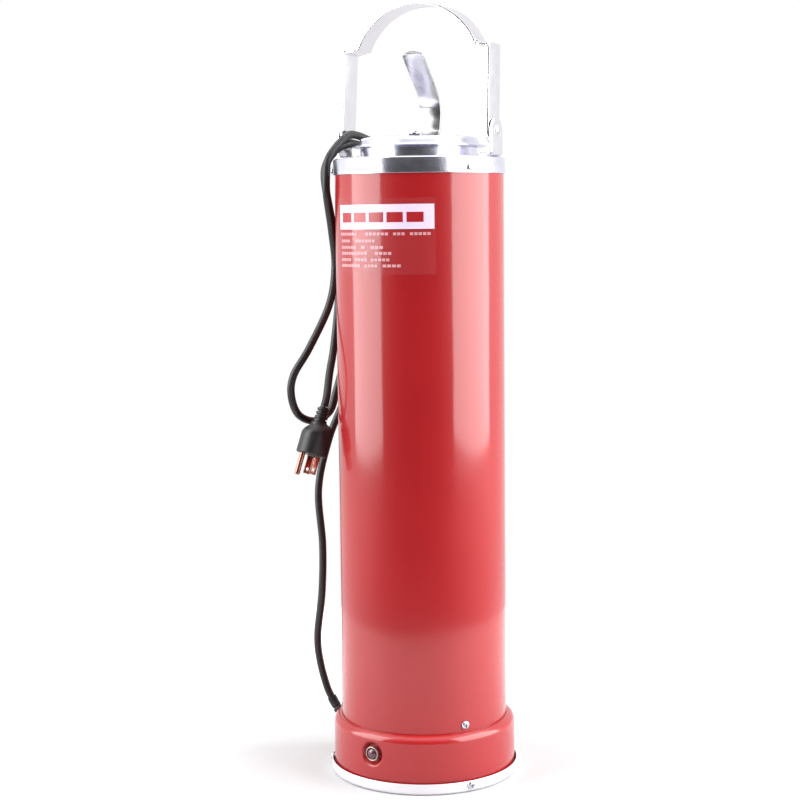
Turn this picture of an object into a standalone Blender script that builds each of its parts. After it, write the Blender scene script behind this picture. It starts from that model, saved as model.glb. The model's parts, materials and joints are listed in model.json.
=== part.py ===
# Portable welding-rod dryer: a tall heated canister with a lift-off lid, a
# swinging strip bail, a spun base cover with a pilot lamp and a mains lead
# hung over the bail.  Metres, +Z up, origin at the centre of the pan's
# underside, +X along the bail's pivots, -Y to the front.
import math
import bmesh
import bpy
from mathutils import Matrix, Vector

NAME = "rod_dryer"
GAP = 0.0003

CASING_R = 0.075          # painted casing, outer radius
CASING_T = 0.0010
CASING_Z0 = 0.0400
RING_R = 0.0762           # aluminium top ring
RING_T = 0.0009
RING_Z0 = 0.5390
RING_TOP = 0.5530
TUBE_R = 0.0518           # inner tube, outer radius
TUBE_T = 0.0012
NECK_TOP = 0.5624
COVER_R = 0.0825          # red base cover
COVER_T = 0.0012
COVER_TOP = 0.0515
COVER_ROUND = 0.0072
PAN_R = 0.0850            # aluminium pan under the cover
PAN_T = 0.0015
PAN_H = 0.0100
LID_R = 0.0590            # lid brim
LID_DOME_R = 0.0536
LID_TOP = 0.5722
PIVOT_Z = 0.5756          # bail pivot height
LEG_X = 0.07055           # bail leg mid-plane at the pivot
LEG_W = 0.0250
LEG_T = 0.0025
BAIL_TOP = 0.6885
ARCH_R = 0.0625           # arch outer radius
LEAN = 0.0025             # the hand-formed strip leans to +X by this much
EAR_T = 0.0020
EAR_X = 0.0739            # ear mid-plane
RIM_SCREW_AZ = (59.5, -64.0, 178.0)
BASE_SCREW_AZ = (53.5, -70.0, 168.0)
LAMP_AZ = -9.4
LAMP_Z = 0.0326
GLAND_AZ = -104.0
GLAND_Z = 0.0260
CORD_D = 0.0070
LABEL_AZ = (-42.0, 35.6)
LABEL_Z0 = 0.4530
LABEL_Z1 = 0.5180

# The lead from the gland, up the back, through the bail, down as a loop,
# up again, through the bail and down to the plug (millimetres).
CORD_MM = (
    (-73.7, 18.4, 26), (-81.5, 20.3, 26), (-87.6, 21.9, 26.6), (-95.6, 23.9, 29.2),
    (-102.8, 25.1, 34.8), (-108.2, 24.7, 42.8), (-112.4, 20.8, 56), (-113.4, 9.8, 84),
    (-109.6, -1, 112), (-100.8, -7.3, 155), (-99.6, -6.8, 200), (-103.9, -5, 252),
    (-97, 5, 299), (-87.2, 20, 338), (-79.4, 35.8, 397), (-67.4, 50, 472),
    (-54, 63.2, 526), (-50.7, 65.3, 541), (-51.2, 60.5, 554.5), (-54, 44.6, 564.5),
    (-59.4, 25, 571), (-63.5, 4, 575.8), (-63.6, -15, 574.6), (-66.9, -34.4, 561.6),
    (-69.6, -41.8, 551.4), (-69.9, -43.8, 540), (-70.6, -42.4, 522), (-75.6, -24.4, 490),
    (-79.6, -11.6, 458), (-82.6, -18, 424), (-91.8, -40, 386), (-102.8, -50, 362),
    (-106.2, -49.4, 343.5), (-103.2, -42.4, 325.4), (-95.9, -25.6, 318), (-88.6, -8.8, 325.4),
    (-85.6, -1.6, 343.5), (-83.4, 11.2, 370), (-78.6, 26, 408), (-71.8, 40.2, 474),
    (-62.4, 55, 522), (-60.8, 57, 541), (-61.4, 50.2, 555), (-62.9, 31, 562.8),
    (-64.2, 5, 567.8), (-65.1, -11.4, 567), (-70, -22.4, 562.6), (-75.4, -31.6, 551.2),
    (-77.4, -33.4, 537), (-78.4, -22, 508), (-80, -4, 470), (-81.2, -2.4, 430),
    (-82, -11.4, 386), (-80.4, -24, 361.6), (-77.1, -36, 342.3), (-78, -39.2, 333.4))
PLUG_DIR = (-0.15, -0.32, -0.935)
PLUG_TURN = 192.0


def clear_scene():
    for obj in list(bpy.data.objects):
        bpy.data.objects.remove(obj, do_unlink=True)


def collection(name):
    col = bpy.data.collections.new(name)
    bpy.context.scene.collection.children.link(col)
    return col


def material(name, colour, rough, metal=0.0):
    mat = bpy.data.materials.new(name)
    mat.use_nodes = True
    bsdf = mat.node_tree.nodes["Principled BSDF"]
    bsdf.inputs["Base Color"].default_value = (*colour, 1.0)
    bsdf.inputs["Roughness"].default_value = rough
    bsdf.inputs["Metallic"].default_value = metal
    return mat


def add(name, data, col, mat=None):
    obj = bpy.data.objects.new(name, data)
    col.objects.link(obj)
    if mat is not None:
        data.materials.append(material(name, *LOOKS[mat]))
    if col is CUTTERS:
        obj.hide_render = True
        obj.display_type = "WIRE"
    return obj


def radial(azimuth):
    a = math.radians(azimuth)
    return Vector((math.sin(a), -math.cos(a), 0.0))


def aim(obj, location, direction):
    obj.location = location
    obj.rotation_mode = "QUATERNION"
    obj.rotation_quaternion = Vector(direction).to_track_quat("Z", "Y")


def turned(name, profile, mat, steps=48, col=None):
    """A profile of (radius, height), down its outer side, swept about Z."""
    on_axis = profile[0][0] == 0.0
    mesh = bpy.data.meshes.new(name)
    verts = [(r, 0.0, z) for r, z in profile]
    edges = [(i, i + 1) for i in range(len(verts) - 1)]
    if not on_axis:
        edges.append((len(verts) - 1, 0))
    mesh.from_pydata(verts, edges, [])
    obj = add(name, mesh, col or PARTS, mat)
    mod = obj.modifiers.new("turn", "SCREW")
    mod.steps = steps
    mod.render_steps = steps
    mod.use_merge_vertices = True
    mod.merge_threshold = 0.00001
    mod.use_smooth_shade = True
    return obj


def corner(cr, cz, rad, a0, a1, count=4):
    """Points of a rounded corner, angles in degrees from +r towards +z."""
    out = []
    for i in range(count + 1):
        a = math.radians(a0 + (a1 - a0) * i / count)
        out.append((cr + rad * math.cos(a), cz + rad * math.sin(a)))
    return out


def box(name, size, location, mat, col=None, bevel=0.0):
    bm = bmesh.new()
    bmesh.ops.create_cube(bm, size=1.0)
    bmesh.ops.scale(bm, vec=Vector(size), verts=bm.verts)
    mesh = bpy.data.meshes.new(name)
    bm.to_mesh(mesh)
    bm.free()
    obj = add(name, mesh, col or PARTS, mat)
    obj.location = location
    if bevel:
        mod = obj.modifiers.new("round", "BEVEL")
        mod.width = bevel
        mod.segments = 2
    return obj


def cylinder(name, radius, depth, centre, direction, mat=None, col=None, sides=32, tip=None):
    bm = bmesh.new()
    bmesh.ops.create_cone(bm, cap_ends=True, segments=sides, radius1=radius,
                          radius2=radius if tip is None else tip, depth=depth)
    mesh = bpy.data.meshes.new(name)
    bm.to_mesh(mesh)
    bm.free()
    mesh.shade_smooth()
    mesh.set_sharp_from_angle(angle=math.radians(35))
    obj = add(name, mesh, col or PARTS, mat)
    aim(obj, centre, direction)
    return obj


def outline(name, points, depth, mat, matrix, col=None):
    """A flat closed outline in local XY, `depth` thick along local Z, as a mesh."""
    curve = bpy.data.curves.new(name, "CURVE")
    curve.dimensions = "2D"
    curve.fill_mode = "BOTH"
    curve.extrude = depth / 2.0
    line = curve.splines.new("POLY")
    line.points.add(len(points) - 1)
    for point, (x, y) in zip(line.points, points):
        point.co = (x, y, 0.0, 1.0)
    line.use_cyclic_u = True
    guide = bpy.data.objects.new(name + "_line", curve)
    CUTTERS.objects.link(guide)
    bpy.context.view_layer.update()
    graph = bpy.context.evaluated_depsgraph_get()
    mesh = bpy.data.meshes.new_from_object(guide.evaluated_get(graph))
    bpy.data.objects.remove(guide, do_unlink=True)
    bm = bmesh.new()
    bm.from_mesh(mesh)
    bmesh.ops.remove_doubles(bm, verts=bm.verts, dist=0.000001)
    bmesh.ops.recalc_face_normals(bm, faces=bm.faces)
    bm.to_mesh(mesh)
    bm.free()
    mesh.materials.clear()
    obj = add(name, mesh, col or PARTS, mat)
    obj.matrix_world = matrix
    return obj


def cut(target, cutter, operation="DIFFERENCE"):
    mod = target.modifiers.new(operation.lower(), "BOOLEAN")
    mod.operation = operation
    mod.object = cutter
    return mod


def hole(targets, name, radius, depth, centre, direction, sides=16):
    cutter = cylinder(name, radius, depth, centre, direction, None, CUTTERS, sides)
    for target in targets:
        cut(target, cutter)


def smooth_path(points, step):
    """Points every `step` along a Catmull-Rom line through `points`."""
    pts = [Vector(p) for p in points]
    pts = [2 * pts[0] - pts[1]] + pts + [2 * pts[-1] - pts[-2]]
    out = [pts[1].copy()]
    for a, b, c, d in zip(pts, pts[1:], pts[2:], pts[3:]):
        parts = max(1, round((c - b).length / step))
        for i in range(1, parts + 1):
            t = i / parts
            even = 2 * b + (c - a) * t + (2 * a - 5 * b + 4 * c - d) * t * t
            out.append((even + (3 * b - a - 3 * c + d) * t * t * t) / 2)
    return out


def wire(name, points, diameter, mat, resolution=2):
    curve = bpy.data.curves.new(name, "CURVE")
    curve.dimensions = "3D"
    curve.bevel_depth = diameter / 2.0
    curve.bevel_resolution = resolution
    curve.use_fill_caps = True
    line = curve.splines.new("POLY")
    line.points.add(len(points) - 1)
    for point, co in zip(line.points, points):
        point.co = (*co, 1.0)
    line.use_smooth = True
    return add(name, curve, PARTS, mat)


# ---------------------------------------------------------------- shells

def make_shells():
    pan = turned("bottom_pan", pan_profile(), "plain_alu")
    cover = turned("base_cover", cover_profile(), "red")
    top = RING_TOP - RING_T - GAP
    casing = turned("casing", [(CASING_R, top), (CASING_R, CASING_Z0),
                               (CASING_R - CASING_T, CASING_Z0), (CASING_R - CASING_T, top)], "red")
    ring = turned("top_ring", ring_profile(), "alu")
    return pan, cover, casing, ring


def pan_profile():
    rad = 0.003
    inner = [(0.0, PAN_T), (PAN_R - rad, PAN_T), (PAN_R - PAN_T, rad), (PAN_R - PAN_T, PAN_H)]
    outer = [(PAN_R, PAN_H)] + corner(PAN_R - rad, rad, rad, 0, -90, 3)
    return inner + outer + [(0.0, 0.0)]


def cover_profile():
    inner = COVER_R - COVER_T
    mid_r = COVER_R - COVER_ROUND
    mid_z = COVER_TOP - COVER_ROUND
    edge = CASING_R + 0.0004
    out = [(edge, COVER_TOP)] + corner(mid_r, mid_z, COVER_ROUND, 86, 0, 4)
    out += [(COVER_R, PAN_T + 0.001), (inner, PAN_T + 0.001)]
    out += corner(mid_r, mid_z, COVER_ROUND - COVER_T, 0, 86, 2)
    return out + [(edge, COVER_TOP - COVER_T)]


def ring_profile():
    skirt = RING_R - RING_T
    rad = 0.0014
    hole_r = TUBE_R + GAP
    out = [(hole_r, RING_TOP)] + corner(RING_R - rad, RING_TOP - rad, rad, 90, 0, 3)
    out += [(RING_R, RING_Z0), (skirt, RING_Z0), (skirt, RING_TOP - RING_T)]
    return out + [(hole_r, RING_TOP - RING_T)]


def make_chamber():
    r0 = TUBE_R - TUBE_T
    tube = [(r0 + 0.0003, NECK_TOP), (TUBE_R - 0.0003, NECK_TOP), (TUBE_R, NECK_TOP - 0.0006),
            (TUBE_R, 0.0640), (r0, 0.0640), (r0, NECK_TOP - 0.0006)]
    turned("inner_tube", tube, "steel")
    turned("rod_rest", [(0, 0.0670), (r0 - GAP, 0.0670), (r0 - GAP, 0.0650), (0, 0.0650)], "steel")
    for name, z in (("heater_band_lower", 0.130), ("heater_band_upper", 0.400)):
        lo = TUBE_R + GAP
        hi = lo + 0.0026
        turned(name, [(hi, z + 0.045), (hi, z - 0.045), (lo, z - 0.045), (lo, z + 0.045)], "mica")
    wool = [(0.0738, 0.5400), (0.0738, 0.0700), (0.0552, 0.0700), (0.0552, 0.5400)]
    turned("insulation_sleeve", wool, "wool", 48)
    turned("insulation_floor", [(0, 0.0635), (0.0685, 0.0635), (0.0685, 0.0475), (0, 0.0475)],
           "wool", 48)
    plate = [(0, 0.0470), (0.0722, 0.0470), (0.0722, 0.0685), (0.0737, 0.0685),
             (0.0737, 0.0455), (0, 0.0455)]
    return turned("bulkhead", plate, "steel")


# ---------------------------------------------------------------- screws

def screw(name, azimuth, radius, z, head_r, reach):
    """A pan-head screw pointing inwards; local +Z is the outward direction."""
    dome = 0.0022
    profile = [(0, dome), (head_r * 0.7, dome * 0.8), (head_r, 0.0003),
               (0.0019, 0.0003), (0.0019, -reach), (0, -reach)]
    obj = turned(name, profile, "zinc", 16)
    aim(obj, radial(azimuth) * radius + Vector((0, 0, z)), radial(azimuth))


def make_screws(pan, cover, casing, ring, bulkhead):
    rows = (("rim_screw", RIM_SCREW_AZ, RING_R, 0.5434, 0.0034, 0.0050, (ring, casing)),
            ("casing_screw", BASE_SCREW_AZ, CASING_R, 0.0574, 0.0038, 0.0060, (casing, bulkhead)),
            ("pan_screw", BASE_SCREW_AZ, PAN_R, 0.0064, 0.0038, 0.0070, (pan, cover)))
    for kind, azimuths, radius, z, head_r, reach, targets in rows:
        for i, azimuth in enumerate(azimuths):
            centre = radial(azimuth) * radius + Vector((0, 0, z))
            hole(targets, f"{kind}_{i + 1}_hole", 0.0022, 0.020, centre, radial(azimuth))
            screw(f"{kind}_{i + 1}", azimuth, radius, z, head_r, reach)


# ---------------------------------------------------------------- lamp and gland

def make_lamp(cover):
    out = radial(LAMP_AZ)
    wall = out * COVER_R + Vector((0, 0, LAMP_Z))
    hole([cover], "lamp_hole", 0.0107, 0.016, wall, out, 32)
    cup = [(0.0104, -0.0004), (0.0104, -0.0012), (0.0084, -0.0058), (0.0068, -0.0058),
           (0.0068, -0.0048), (0.0078, -0.0048), (0.0094, -0.0004)]
    aim(turned("lamp_recess", cup, "red", 32), wall, out)
    bezel = [(0.0060, 0.0006), (0.0064, 0.0000), (0.0064, -0.0070), (0.0054, -0.0070),
             (0.0054, 0.0006)]
    aim(turned("lamp_bezel", bezel, "nickel", 28), wall, out)
    lens = [(0, 0.0024), (0.0022, 0.0021), (0.0040, 0.0012), (0.0050, -0.0002), (0.0050, -0.0060),
            (0, -0.0060)]
    aim(turned("lamp_lens", lens, "lens", 20), wall, out)
    body = [(0, -0.0075), (0.0070, -0.0075), (0.0070, -0.0110), (0.0050, -0.0110),
            (0.0050, -0.0260), (0, -0.0260)]
    aim(turned("lamp_body", body, "bakelite", 20), wall, out)


def make_gland(cover):
    out = radial(GLAND_AZ)
    wall = out * COVER_R + Vector((0, 0, GLAND_Z))
    hole([cover], "gland_hole", 0.0064, 0.012, wall, out, 20)
    gland = [(0.0058, 0.0060), (0.0074, 0.0036), (0.0084, 0.0004), (0.0061, 0.0004),
             (0.0061, -0.0018), (0.0072, -0.0018), (0.0072, -0.0036), (0.0039, -0.0036),
             (0.0039, 0.0020), (0.0048, 0.0060)]
    aim(turned("cord_gland", gland, "rubber", 20), wall, out)


# ---------------------------------------------------------------- lead and plug

def make_cord():
    pts = [Vector(p) * 0.001 for p in CORD_MM]
    path = [pts[0], pts[1]] + smooth_path(pts[2:], 0.014)
    wire("power_cord", path, CORD_D, "cord", 2)


def make_plug():
    down = Vector(PLUG_DIR).normalized()
    start = Vector(CORD_MM[-1]) * 0.001 + down * 2 * GAP
    turn = down.to_track_quat("Z", "Y")
    wide = Matrix.Rotation(math.radians(PLUG_TURN), 4, down) @ turn.to_matrix().to_4x4()
    ribbed = []
    for i in range(4):
        z = 0.0146 - i * 0.0036
        rad = 0.0062 - i * 0.00022
        ribbed += [(rad, z), (rad, z - 0.0020), (rad - 0.0010, z - 0.0022), (rad - 0.0010, z - 0.0034)]
    relief = [(0, 0.0146)] + ribbed + [(0.0044, 0.0), (0, 0.0)]
    obj = turned("plug_relief", relief, "plug", 16)
    obj.matrix_world = Matrix.Translation(start) @ wide
    body = plug_body()
    body.matrix_world = Matrix.Translation(start + down * 0.0149) @ wide
    tip = start + down * (0.0149 + 0.0300 + GAP)
    blades = (("plug_blade_left", -0.0064), ("plug_blade_right", 0.0064))
    for name, side in blades:
        blade = box(name, (0.0015, 0.0064, 0.0165), (0, 0, 0), "brass", bevel=0.0003)
        blade.matrix_world = Matrix.Translation(tip) @ wide @ Matrix.Translation(
            (side, 0.0034, 0.00825))
        eye = cylinder(name + "_eye", 0.0015, 0.006, (0, 0, 0), (0, 0, 1), None, CUTTERS, 16)
        eye.matrix_world = blade.matrix_world @ Matrix.Translation(
            (0, 0, 0.0040)) @ Matrix.Rotation(math.radians(90), 4, "Y")
        cut(blade, eye)
    pin = cylinder("plug_ground_pin", 0.0024, 0.0200, (0, 0, 0), (0, 0, 1), "brass", None, 20)
    pin.matrix_world = Matrix.Translation(tip) @ wide @ Matrix.Translation((0, -0.0080, 0.0100))


def plug_body():
    """A tapered rounded block, narrow at the relief and wide at the pins."""
    bm = bmesh.new()
    bmesh.ops.create_cube(bm, size=1.0)
    for vert in bm.verts:
        wide = vert.co.z > 0
        vert.co.x *= 0.0270 if wide else 0.0170
        vert.co.y *= 0.0270 if wide else 0.0150
        vert.co.z = 0.0300 if wide else 0.0
    mesh = bpy.data.meshes.new("plug_body")
    bm.to_mesh(mesh)
    bm.free()
    obj = add("plug_body", mesh, PARTS, "plug")
    mod = obj.modifiers.new("round", "BEVEL")
    mod.width = 0.0050
    mod.segments = 4
    return obj


# ---------------------------------------------------------------- bail

def bail_line():
    """Mid-line of the strip in the XZ plane, from the left leg to the right."""
    centre_z = BAIL_TOP - ARCH_R
    mid = ARCH_R - LEG_T / 2.0
    left = []
    lean = LEAN
    foot = PIVOT_Z - LEG_W / 2.0 - 0.001
    for side in (-1, 1):
        top_x = side * 0.0694 + lean
        leg = [(side * LEG_X, foot), (side * LEG_X, PIVOT_Z)]
        leg += [(top_x, 0.6440), (top_x - side * 0.0011, 0.6468), (top_x - side * 0.0040, 0.6484)]
        leg += [(side * 0.0602 + lean * 1.1, 0.6494), (side * 0.0584 + lean * 1.2, 0.6516)]
        left.append(leg)
    arch = []
    for i in range(17):
        a = math.radians(157 - 134 * i / 16)
        arch.append((0.0030 + mid * math.cos(a), centre_z + mid * math.sin(a)))
    return left[0] + arch + left[1][::-1]


def offset_outline(line, thickness):
    pts = [Vector(p) for p in line]
    left = []
    right = []
    for i, point in enumerate(pts):
        before = (point - pts[max(i - 1, 0)])
        after = (pts[min(i + 1, len(pts) - 1)] - point)
        ways = [v.normalized() for v in (before, after) if v.length > 0]
        way = sum(ways[1:], ways[0]).normalized()
        stretch = 1.0 / max(0.7, way.dot(ways[0]))
        normal = Vector((-way.y, way.x)) * thickness / 2.0 * stretch
        left.append(tuple(point + normal))
        right.append(tuple(point - normal))
    return left + right[::-1]


def upright():
    """Local XY to world XZ, local Z to world -Y."""
    return Matrix.Rotation(math.radians(90), 4, "X")


def rounded_end(name, half, z_centre, far, up):
    """A long prism along X with one round end about (y=0, z_centre)."""
    pts = []
    for i in range(15):
        a = math.radians(180 * i / 14)
        z = math.sin(a) * half
        pts.append((math.cos(a) * half, z_centre + (z if up else -z)))
    pts += [(-half, far), (half, far)]
    yz = Matrix(((0, 0, 1, 0), (1, 0, 0, 0), (0, 1, 0, 0), (0, 0, 0, 1)))
    return outline(name, pts, 0.24, None, yz, CUTTERS)


def make_bail():
    strip = outline("bail_handle", offset_outline(bail_line(), LEG_T), LEG_W + 0.002, "alu_strip",
                    upright())
    ends = rounded_end("bail_ends", LEG_W / 2.0, PIVOT_Z, 0.75, False)
    cut(strip, ends, "INTERSECT")
    hole([strip], "bail_pin_hole", 0.0025, 0.30, (0, 0, PIVOT_Z), (1, 0, 0), 24)
    bail_axis = bpy.data.objects.new("bail_axis", None)
    PARTS.objects.link(bail_axis)
    bail_axis.location = (0, 0, PIVOT_Z)
    bpy.context.view_layer.update()
    strip.parent = bail_axis
    strip.matrix_parent_inverse = bail_axis.matrix_world.inverted()


def make_ear(side, word):
    x = EAR_X * side
    inner = x - side * EAR_T / 2.0
    outer = x + side * EAR_T / 2.0
    z0 = RING_TOP + GAP
    foot = 0.0600 * side
    bend = 0.0022
    pts = [(outer, PIVOT_Z + 0.014)]
    for i in range(5):
        a = math.radians(90 * i / 4)
        rad = bend + EAR_T
        pts.append((outer - side * rad * (1 - math.cos(a)), z0 + rad * (1 - math.sin(a))))
    pts += [(foot, z0), (foot, z0 + EAR_T)]
    for i in range(5):
        a = math.radians(90 - 90 * i / 4)
        pts.append((inner - side * bend * (1 - math.cos(a)), z0 + EAR_T + bend * (1 - math.sin(a))))
    pts += [(inner, PIVOT_Z + 0.014)]
    ear = outline(f"bail_ear_{word}", pts, 0.025, "alu_strip", upright())
    cut(ear, rounded_end(f"ear_round_{word}", 0.0125, PIVOT_Z - 0.0015, 0.50, True), "INTERSECT")
    hole([ear], f"ear_pin_hole_{word}", 0.0027, 0.010, (x, 0, PIVOT_Z), (1, 0, 0), 20)
    for i, y in enumerate((-0.0070, 0.0070)):
        hole([ear], f"ear_rivet_hole_{word}_{i}", 0.0019, 0.008, (0.0645 * side, y, z0), (0, 0, 1))
        rivet = [(0, 0.0035), (0.0018, 0.0032), (0.0030, EAR_T + GAP), (0.0016, EAR_T + GAP),
                 (0.0016, 0.0), (0, 0.0)]
        obj = turned(f"ear_rivet_{word}_{i + 1}", rivet, "zinc", 14)
        obj.location = (0.0645 * side, y, z0)


def make_pivot(side, word):
    """Head outside the ear, shank through ear, washer and leg, low head inside."""
    leg_in = LEG_X - LEG_T / 2.0
    leg_out = LEG_X + LEG_T / 2.0
    ear_out = EAR_X + EAR_T / 2.0
    shank = 0.00242
    profile = [(0, ear_out + 0.0022), (0.0024, ear_out + 0.0018), (0.0042, ear_out + GAP),
               (shank, ear_out + GAP), (shank, leg_in - GAP), (0.0042, leg_in - GAP),
               (0.0040, leg_in - 0.0010), (0, leg_in - 0.0010)]
    pin = turned(f"pivot_rivet_{word}", profile, "zinc", 24)
    aim(pin, (0, 0, PIVOT_Z), (side, 0, 0))
    lo = leg_out + 0.0002
    hi = EAR_X - EAR_T / 2.0 - 0.0002
    washer = turned(f"pivot_washer_{word}", [(0.0058, hi), (0.0058, lo), (0.0028, lo), (0.0028, hi)],
                    "zinc", 20)
    aim(washer, (0, 0, PIVOT_Z), (side, 0, 0))


# ---------------------------------------------------------------- lid

def make_lid():
    brim_z = NECK_TOP + 0.0004
    t = 0.0012
    rad = 0.0026
    dome = LID_DOME_R
    profile = [(0, LID_TOP)] + corner(dome - rad, LID_TOP - rad, rad, 90, 0, 3)
    profile += [(dome, brim_z + t), (LID_R, brim_z + t), (LID_R, brim_z), (dome - t, brim_z)]
    profile += corner(dome - rad, LID_TOP - rad, rad - t, 0, 90, 2) + [(0, LID_TOP - t)]
    cover = turned("lid_cover", profile, "alu")
    low = 0.5490
    cup = [(0.0520, 0.5660), (0.0520, 0.5650), (0.0496, 0.5650), (0.0496, low), (0, low),
           (0, low + 0.001), (0.0486, low + 0.001), (0.0486, 0.5660)]
    cup = turned("lid_cup", cup, "alu")
    wool = turned("lid_insulation", [(0, 0.5700), (0.0480, 0.5700), (0.0480, 0.5505), (0, 0.5505)],
                  "wool", 48)
    y = -0.0085
    hole([cover, wool, cup], "lid_screw_hole", 0.0026, 0.060, (0, y, 0.5600), (0, 0, 1))
    handle = make_lid_handle(y)
    top = LID_TOP + GAP + 0.0020
    head = [(0, top + 0.0030), (0.0028, top + 0.0026), (0.0046, top + GAP), (0.0022, top + GAP),
            (0.0022, 0.5445), (0, 0.5445)]
    bolt = turned("lid_screw", head, "zinc", 18)
    bolt.location = (0, y, 0)
    nut = [(0.0048, low - GAP), (0.0048, low - 0.0034), (0.0028, low - 0.0034),
           (0.0028, low - GAP)]
    obj = turned("lid_nut", nut, "zinc", 6)
    obj.location = (0, y, 0)
    return handle


def make_lid_handle(screw_y):
    """Strip foot on the lid, a riser at the back and a forward-curling grip."""
    t = 0.0020
    z0 = LID_TOP + GAP + t / 2.0
    line = [(-0.0200, z0), (0.0165, z0), (0.0205, z0 + 0.0011), (0.0232, z0 + 0.0040)]
    line += [(0.0248, z0 + 0.0100), (0.0262, 0.5930), (0.0250, 0.6010), (0.0215, 0.6085)]
    line += [(0.0150, 0.6165), (0.0070, 0.6245), (-0.0010, 0.6325), (-0.0085, 0.6400)]
    line += [(-0.0135, 0.6452)]
    yz = Matrix(((0, 0, 1, 0), (1, 0, 0, 0), (0, 1, 0, 0), (0, 0, 0, 1)))
    strap = outline("lid_handle", offset_outline(line, t), 0.0200, "alu_strip", yz)
    hole([strap], "strap_hole", 0.0026, 0.008, (0, screw_y, z0), (0, 0, 1))
    mod = strap.modifiers.new("edges", "BEVEL")
    mod.width = 0.0003
    mod.segments = 1
    mod.limit_method = "ANGLE"
    mod.angle_limit = math.radians(60)
    return strap


# ---------------------------------------------------------------- inside the base

def make_electrics(bulkhead):
    box("terminal_block", (0.044, 0.016, 0.014), (0.012, 0.018, 0.0375), "porcelain", bevel=0.001)
    cylinder("thermostat", 0.0110, 0.0110, (0.038, -0.020, 0.0390), (0, 0, 1), "bakelite", None, 28)
    hole([bulkhead, bpy.data.objects["insulation_floor"]], "wire_way", 0.0040, 0.060,
         (0.0580, 0.0100, 0.0550), (0, 0, 1))
    up = [(0.0345, 0.0180, 0.0340), (0.0460, 0.0175, 0.0330), (0.0550, 0.0130, 0.0360),
          (0.0580, 0.0100, 0.0430), (0.0580, 0.0100, 0.0560), (0.0575, 0.0098, 0.0660)]
    wire("heater_lead", smooth_path(up, 0.006), 0.0024, "fibre")
    lamp = radial(LAMP_AZ)
    body = lamp * (COVER_R - 0.0263) + Vector((0, 0, LAMP_Z))
    line = [body, body - lamp * 0.010, Vector((-0.010, -0.015, 0.0300)), Vector((-0.014, 0.006, 0.0310)),
            Vector((-0.0135, 0.0180, 0.0360)), Vector((-0.0105, 0.0180, 0.0360))]
    wire("lamp_lead", smooth_path(line, 0.006), 0.0024, "fibre")
    start = radial(GLAND_AZ) * (COVER_R - 0.0072) + Vector((0, 0, GLAND_Z))
    inlet = [start, start - radial(GLAND_AZ) * 0.014, Vector((-0.0400, 0.0210, 0.0270)),
             Vector((-0.0210, 0.0210, 0.0340)), Vector((-0.0105, 0.0225, 0.0390))]
    wire("mains_core", smooth_path(inlet, 0.008), 0.0026, "fibre")


def make_label():
    hi = CASING_R + GAP + 0.0002
    lo = CASING_R + GAP
    label = turned("rating_label", [(hi, LABEL_Z1), (hi, LABEL_Z0), (lo, LABEL_Z0), (lo, LABEL_Z1)],
                   "label", 96)
    a0, a1 = (math.radians(a) for a in LABEL_AZ)
    reach = 0.14
    pts = [(0.0, 0.0)]
    for i in range(5):
        a = a0 + (a1 - a0) * i / 4
        pts.append((math.sin(a) * reach, -math.cos(a) * reach))
    flat = Matrix.Translation((0, 0, 0.488))
    cut(label, outline("label_arc", pts, 0.2, None, flat, CUTTERS), "INTERSECT")


LOOKS = {
    "red": ((0.56, 0.022, 0.028), 0.38, 0.0),
    "alu": ((0.80, 0.80, 0.81), 0.30, 1.0),
    "plain_alu": ((0.74, 0.74, 0.75), 0.45, 1.0),
    "alu_strip": ((0.78, 0.78, 0.80), 0.36, 1.0),
    "steel": ((0.60, 0.60, 0.61), 0.35, 1.0),
    "zinc": ((0.66, 0.67, 0.70), 0.30, 1.0),
    "nickel": ((0.70, 0.68, 0.62), 0.25, 1.0),
    "brass": ((0.72, 0.50, 0.30), 0.30, 1.0),
    "cord": ((0.045, 0.047, 0.052), 0.50, 0.0),
    "plug": ((0.040, 0.042, 0.046), 0.45, 0.0),
    "rubber": ((0.030, 0.030, 0.032), 0.60, 0.0),
    "lens": ((0.10, 0.020, 0.035), 0.12, 0.0),
    "bakelite": ((0.035, 0.030, 0.028), 0.35, 0.0),
    "porcelain": ((0.82, 0.80, 0.76), 0.30, 0.0),
    "fibre": ((0.75, 0.73, 0.68), 0.80, 0.0),
    "mica": ((0.45, 0.40, 0.33), 0.55, 0.0),
    "wool": ((0.80, 0.78, 0.72), 0.95, 0.0),
    "label": ((0.90, 0.88, 0.90), 0.35, 0.0),
}

clear_scene()
PARTS = collection(NAME)
CUTTERS = collection("cutters")


def main():
    pan, cover, casing, ring = make_shells()
    bulkhead = make_chamber()
    make_screws(pan, cover, casing, ring, bulkhead)
    make_lamp(cover)
    make_gland(cover)
    make_cord()
    make_plug()
    make_bail()
    for side, word in ((-1, "left"), (1, "right")):
        make_ear(side, word)
        make_pivot(side, word)
    make_lid()
    make_electrics(bulkhead)
    make_label()
    bpy.context.view_layer.update()


main()
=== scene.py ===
"""Looks for a portable welding rod dryer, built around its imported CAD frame.

Every length is in metres, in the frame's own axes: +Z up, the axis of the drum on Z.
An azimuth is in degrees from -Y towards +X, seen from above.
"""
import json
import math

import bmesh
import bpy
from mathutils import Matrix, Vector


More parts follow.
